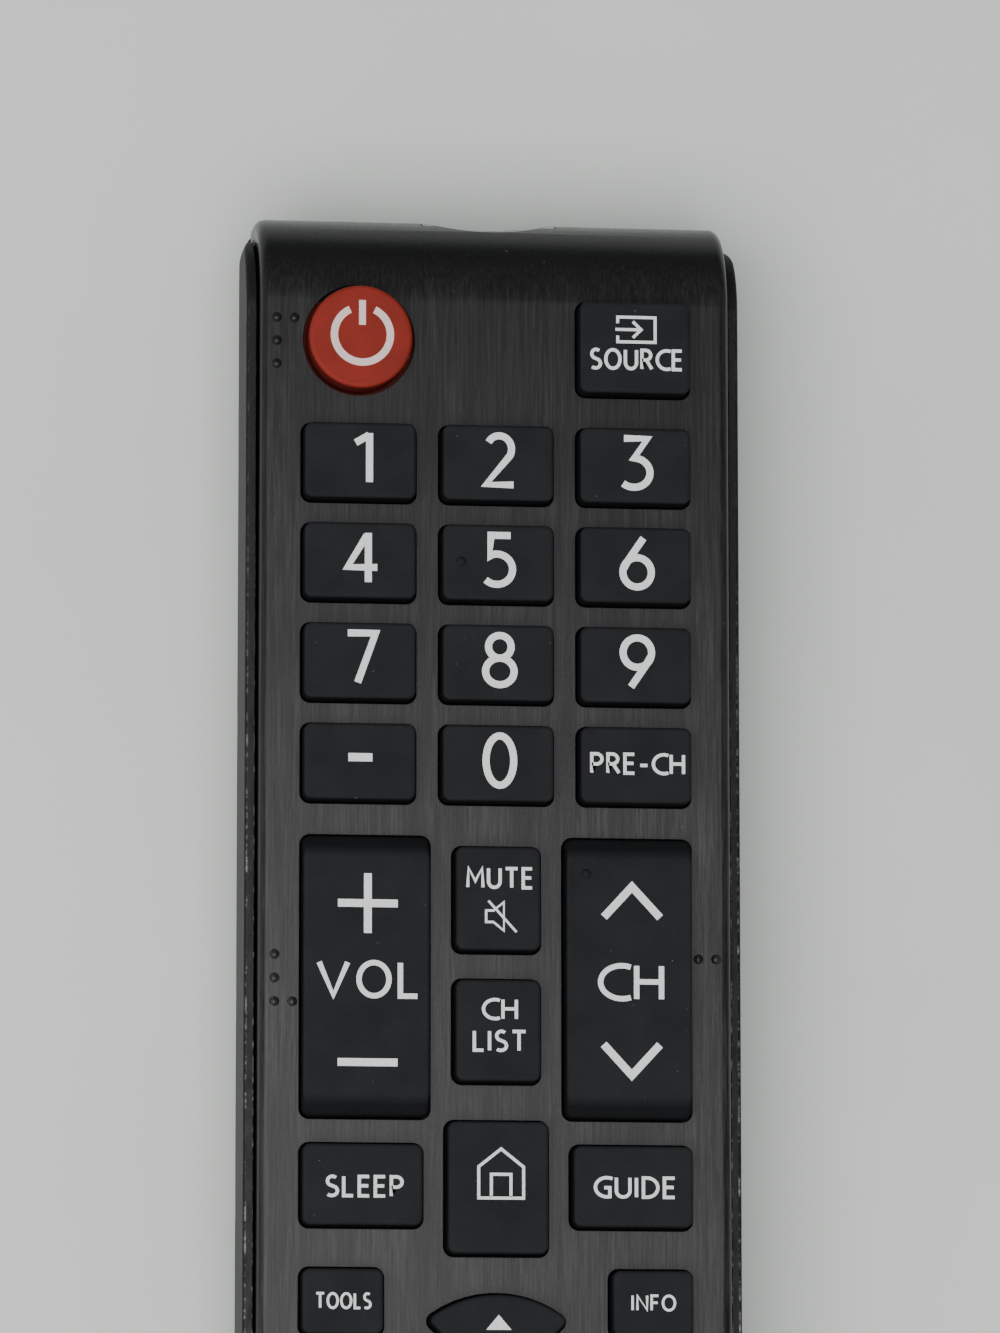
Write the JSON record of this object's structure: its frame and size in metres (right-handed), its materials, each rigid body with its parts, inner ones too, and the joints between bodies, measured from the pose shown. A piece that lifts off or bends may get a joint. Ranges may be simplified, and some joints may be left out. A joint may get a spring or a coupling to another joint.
{
  "type": "tv remote control",
  "caption": "Slim hand-held infrared remote control with a brushed cover plate, rubber keys that press, two rocker keys that tip and a battery door that slides off.",
  "frame": {"origin": "below the middle of the body, on the flat back that it rests on", "axes": "+X across the body to the right seen from the key side, +Y to the head end with the infrared window, +Z out of the key side"},
  "size_m": [0.0436, 0.156, 0.0203],
  "materials": {
    "case_plastic": "fine matte black moulding with a glossy rim",
    "cover_finish": "black film with a fine lengthwise brushed pattern",
    "window_plastic": "dark infrared-clear plastic, polished",
    "key_rubber": "matte black silicone",
    "power_rubber": "matte red silicone",
    "red_key_rubber": "matte red silicone",
    "green_key_rubber": "matte green silicone",
    "yellow_key_rubber": "matte yellow silicone",
    "blue_key_rubber": "matte blue silicone",
    "mat_rubber": "grey silicone sheet",
    "board_laminate": "green solder mask on laminate",
    "led_resin": "smoke-tinted clear resin",
    "cell_jacket": "printed jacket in plain bands",
    "spring_wire": "plated spring wire",
    "contact_metal": "plated sheet",
    "chip_package": "black moulded package",
    "resonator_ceramic": "dipped ceramic",
    "capacitor_can": "drawn can",
    "screw_steel": "dark plated steel"
  },
  "bodies": {
    "remote_body": {"bottom_case": "case_plastic", "top_cover": "cover_finish", "ir_window": "window_plastic", "keypad_mat": "mat_rubber", "circuit_board": "board_laminate", "ir_led": "led_resin", "battery_left": "cell_jacket", "battery_right": "cell_jacket", "contact_springs": "spring_wire", "contact_plates": "contact_metal", "controller_chip": "chip_package", "ceramic_resonator": "resonator_ceramic", "capacitor": "capacitor_can", "transistor": "chip_package", "resistors": "chip_package", "case_screws": "screw_steel"},
    "battery_door": {"battery_door": "case_plastic"},
    "key_power": {"key_power": "power_rubber"},
    "key_source": {"key_source": "key_rubber"},
    "key_1": {"key_1": "key_rubber"},
    "key_2": {"key_2": "key_rubber"},
    "key_3": {"key_3": "key_rubber"},
    "key_4": {"key_4": "key_rubber"},
    "key_5": {"key_5": "key_rubber"},
    "key_6": {"key_6": "key_rubber"},
    "key_7": {"key_7": "key_rubber"},
    "key_8": {"key_8": "key_rubber"},
    "key_9": {"key_9": "key_rubber"},
    "key_dash": {"key_dash": "key_rubber"},
    "key_0": {"key_0": "key_rubber"},
    "key_previous_channel": {"key_previous_channel": "key_rubber"},
    "key_mute": {"key_mute": "key_rubber"},
    "key_channel_list": {"key_channel_list": "key_rubber"},
    "key_home": {"key_home": "key_rubber"},
    "key_sleep": {"key_sleep": "key_rubber"},
    "key_guide": {"key_guide": "key_rubber"},
    "key_enter": {"key_enter": "key_rubber"},
    "key_up": {"key_up": "key_rubber"},
    "key_left": {"key_left": "key_rubber"},
    "key_down": {"key_down": "key_rubber"},
    "key_right": {"key_right": "key_rubber"},
    "key_tools": {"key_tools": "key_rubber"},
    "key_info": {"key_info": "key_rubber"},
    "key_return": {"key_return": "key_rubber"},
    "key_exit": {"key_exit": "key_rubber"},
    "key_red": {"key_red": "red_key_rubber"},
    "key_green": {"key_green": "green_key_rubber"},
    "key_yellow": {"key_yellow": "yellow_key_rubber"},
    "key_blue": {"key_blue": "blue_key_rubber"},
    "key_rewind": {"key_rewind": "key_rubber"},
    "key_pause": {"key_pause": "key_rubber"},
    "key_forward": {"key_forward": "key_rubber"},
    "key_record": {"key_record": "key_rubber"},
    "key_play": {"key_play": "key_rubber"},
    "key_stop": {"key_stop": "key_rubber"},
    "rocker_volume": {"rocker_volume": "key_rubber"},
    "rocker_channel": {"rocker_channel": "key_rubber"}
  },
  "joints": [
    {"name": "rocker_volume_tip", "type": "hinge", "parent": "remote_body", "child": "rocker_volume", "pos_m": [-0.01145, 0.00982, 0.015], "axis": [1, 0, 0], "range_deg": [-3.6, 3.6], "stiffness_Nm_per_rad": 0.08},
    {"name": "rocker_channel_tip", "type": "hinge", "parent": "remote_body", "child": "rocker_channel", "pos_m": [0.01145, 0.00982, 0.015], "axis": [1, 0, 0], "range_deg": [-3.6, 3.6], "stiffness_Nm_per_rad": 0.08},
    {"name": "battery_door_slide", "type": "slide", "parent": "remote_body", "child": "battery_door", "axis": [0, -1, 0], "range_m": [0, 0.066]},
    {"name": "power_press", "type": "slide", "parent": "remote_body", "child": "key_power", "axis": [0, 0, -1], "range_m": [0, 0.00075], "stiffness_N_per_m": 800, "springref_m": -0.001},
    {"name": "source_press", "type": "slide", "parent": "remote_body", "child": "key_source", "axis": [0, 0, -1], "range_m": [0, 0.00075], "stiffness_N_per_m": 800, "springref_m": -0.001},
    {"name": "digit_1_press", "type": "slide", "parent": "remote_body", "child": "key_1", "axis": [0, 0, -1], "range_m": [0, 0.00075], "stiffness_N_per_m": 800, "springref_m": -0.001},
    {"name": "digit_2_press", "type": "slide", "parent": "remote_body", "child": "key_2", "axis": [0, 0, -1], "range_m": [0, 0.00075], "stiffness_N_per_m": 800, "springref_m": -0.001},
    {"name": "digit_3_press", "type": "slide", "parent": "remote_body", "child": "key_3", "axis": [0, 0, -1], "range_m": [0, 0.00075], "stiffness_N_per_m": 800, "springref_m": -0.001},
    {"name": "digit_4_press", "type": "slide", "parent": "remote_body", "child": "key_4", "axis": [0, 0, -1], "range_m": [0, 0.00075], "stiffness_N_per_m": 800, "springref_m": -0.001},
    {"name": "digit_5_press", "type": "slide", "parent": "remote_body", "child": "key_5", "axis": [0, 0, -1], "range_m": [0, 0.00075], "stiffness_N_per_m": 800, "springref_m": -0.001},
    {"name": "digit_6_press", "type": "slide", "parent": "remote_body", "child": "key_6", "axis": [0, 0, -1], "range_m": [0, 0.00075], "stiffness_N_per_m": 800, "springref_m": -0.001},
    {"name": "digit_7_press", "type": "slide", "parent": "remote_body", "child": "key_7", "axis": [0, 0, -1], "range_m": [0, 0.00075], "stiffness_N_per_m": 800, "springref_m": -0.001},
    {"name": "digit_8_press", "type": "slide", "parent": "remote_body", "child": "key_8", "axis": [0, 0, -1], "range_m": [0, 0.00075], "stiffness_N_per_m": 800, "springref_m": -0.001},
    {"name": "digit_9_press", "type": "slide", "parent": "remote_body", "child": "key_9", "axis": [0, 0, -1], "range_m": [0, 0.00075], "stiffness_N_per_m": 800, "springref_m": -0.001},
    {"name": "dash_press", "type": "slide", "parent": "remote_body", "child": "key_dash", "axis": [0, 0, -1], "range_m": [0, 0.00075], "stiffness_N_per_m": 800, "springref_m": -0.001},
    {"name": "digit_0_press", "type": "slide", "parent": "remote_body", "child": "key_0", "axis": [0, 0, -1], "range_m": [0, 0.00075], "stiffness_N_per_m": 800, "springref_m": -0.001},
    {"name": "previous_channel_press", "type": "slide", "parent": "remote_body", "child": "key_previous_channel", "axis": [0, 0, -1], "range_m": [0, 0.00075], "stiffness_N_per_m": 800, "springref_m": -0.001},
    {"name": "mute_press", "type": "slide", "parent": "remote_body", "child": "key_mute", "axis": [0, 0, -1], "range_m": [0, 0.00075], "stiffness_N_per_m": 800, "springref_m": -0.001},
    {"name": "channel_list_press", "type": "slide", "parent": "remote_body", "child": "key_channel_list", "axis": [0, 0, -1], "range_m": [0, 0.00075], "stiffness_N_per_m": 800, "springref_m": -0.001},
    {"name": "home_press", "type": "slide", "parent": "remote_body", "child": "key_home", "axis": [0, 0, -1], "range_m": [0, 0.00075], "stiffness_N_per_m": 800, "springref_m": -0.001},
    {"name": "sleep_press", "type": "slide", "parent": "remote_body", "child": "key_sleep", "axis": [0, 0, -1], "range_m": [0, 0.00075], "stiffness_N_per_m": 800, "springref_m": -0.001},
    {"name": "guide_press", "type": "slide", "parent": "remote_body", "child": "key_guide", "axis": [0, 0, -1], "range_m": [0, 0.00075], "stiffness_N_per_m": 800, "springref_m": -0.001},
    {"name": "enter_press", "type": "slide", "parent": "remote_body", "child": "key_enter", "axis": [0, 0, -1], "range_m": [0, 0.00075], "stiffness_N_per_m": 800, "springref_m": -0.001},
    {"name": "up_press", "type": "slide", "parent": "remote_body", "child": "key_up", "axis": [0, 0, -1], "range_m": [0, 0.00075], "stiffness_N_per_m": 800, "springref_m": -0.001},
    {"name": "left_press", "type": "slide", "parent": "remote_body", "child": "key_left", "axis": [0, 0, -1], "range_m": [0, 0.00075], "stiffness_N_per_m": 800, "springref_m": -0.001},
    {"name": "down_press", "type": "slide", "parent": "remote_body", "child": "key_down", "axis": [0, 0, -1], "range_m": [0, 0.00075], "stiffness_N_per_m": 800, "springref_m": -0.001},
    {"name": "right_press", "type": "slide", "parent": "remote_body", "child": "key_right", "axis": [0, 0, -1], "range_m": [0, 0.00075], "stiffness_N_per_m": 800, "springref_m": -0.001},
    {"name": "tools_press", "type": "slide", "parent": "remote_body", "child": "key_tools", "axis": [0, 0, -1], "range_m": [0, 0.00075], "stiffness_N_per_m": 800, "springref_m": -0.001},
    {"name": "info_press", "type": "slide", "parent": "remote_body", "child": "key_info", "axis": [0, 0, -1], "range_m": [0, 0.00075], "stiffness_N_per_m": 800, "springref_m": -0.001},
    {"name": "return_press", "type": "slide", "parent": "remote_body", "child": "key_return", "axis": [0, 0, -1], "range_m": [0, 0.00075], "stiffness_N_per_m": 800, "springref_m": -0.001},
    {"name": "exit_press", "type": "slide", "parent": "remote_body", "child": "key_exit", "axis": [0, 0, -1], "range_m": [0, 0.00075], "stiffness_N_per_m": 800, "springref_m": -0.001},
    {"name": "red_press", "type": "slide", "parent": "remote_body", "child": "key_red", "axis": [0, 0, -1], "range_m": [0, 0.00075], "stiffness_N_per_m": 800, "springref_m": -0.001},
    {"name": "green_press", "type": "slide", "parent": "remote_body", "child": "key_green", "axis": [0, 0, -1], "range_m": [0, 0.00075], "stiffness_N_per_m": 800, "springref_m": -0.001},
    {"name": "yellow_press", "type": "slide", "parent": "remote_body", "child": "key_yellow", "axis": [0, 0, -1], "range_m": [0, 0.00075], "stiffness_N_per_m": 800, "springref_m": -0.001},
    {"name": "blue_press", "type": "slide", "parent": "remote_body", "child": "key_blue", "axis": [0, 0, -1], "range_m": [0, 0.00075], "stiffness_N_per_m": 800, "springref_m": -0.001},
    {"name": "rewind_press", "type": "slide", "parent": "remote_body", "child": "key_rewind", "axis": [0, 0, -1], "range_m": [0, 0.00075], "stiffness_N_per_m": 800, "springref_m": -0.001},
    {"name": "pause_press", "type": "slide", "parent": "remote_body", "child": "key_pause", "axis": [0, 0, -1], "range_m": [0, 0.00075], "stiffness_N_per_m": 800, "springref_m": -0.001},
    {"name": "forward_press", "type": "slide", "parent": "remote_body", "child": "key_forward", "axis": [0, 0, -1], "range_m": [0, 0.00075], "stiffness_N_per_m": 800, "springref_m": -0.001},
    {"name": "record_press", "type": "slide", "parent": "remote_body", "child": "key_record", "axis": [0, 0, -1], "range_m": [0, 0.00075], "stiffness_N_per_m": 800, "springref_m": -0.001},
    {"name": "play_press", "type": "slide", "parent": "remote_body", "child": "key_play", "axis": [0, 0, -1], "range_m": [0, 0.00075], "stiffness_N_per_m": 800, "springref_m": -0.001},
    {"name": "stop_press", "type": "slide", "parent": "remote_body", "child": "key_stop", "axis": [0, 0, -1], "range_m": [0, 0.00075], "stiffness_N_per_m": 800, "springref_m": -0.001}
  ]
}
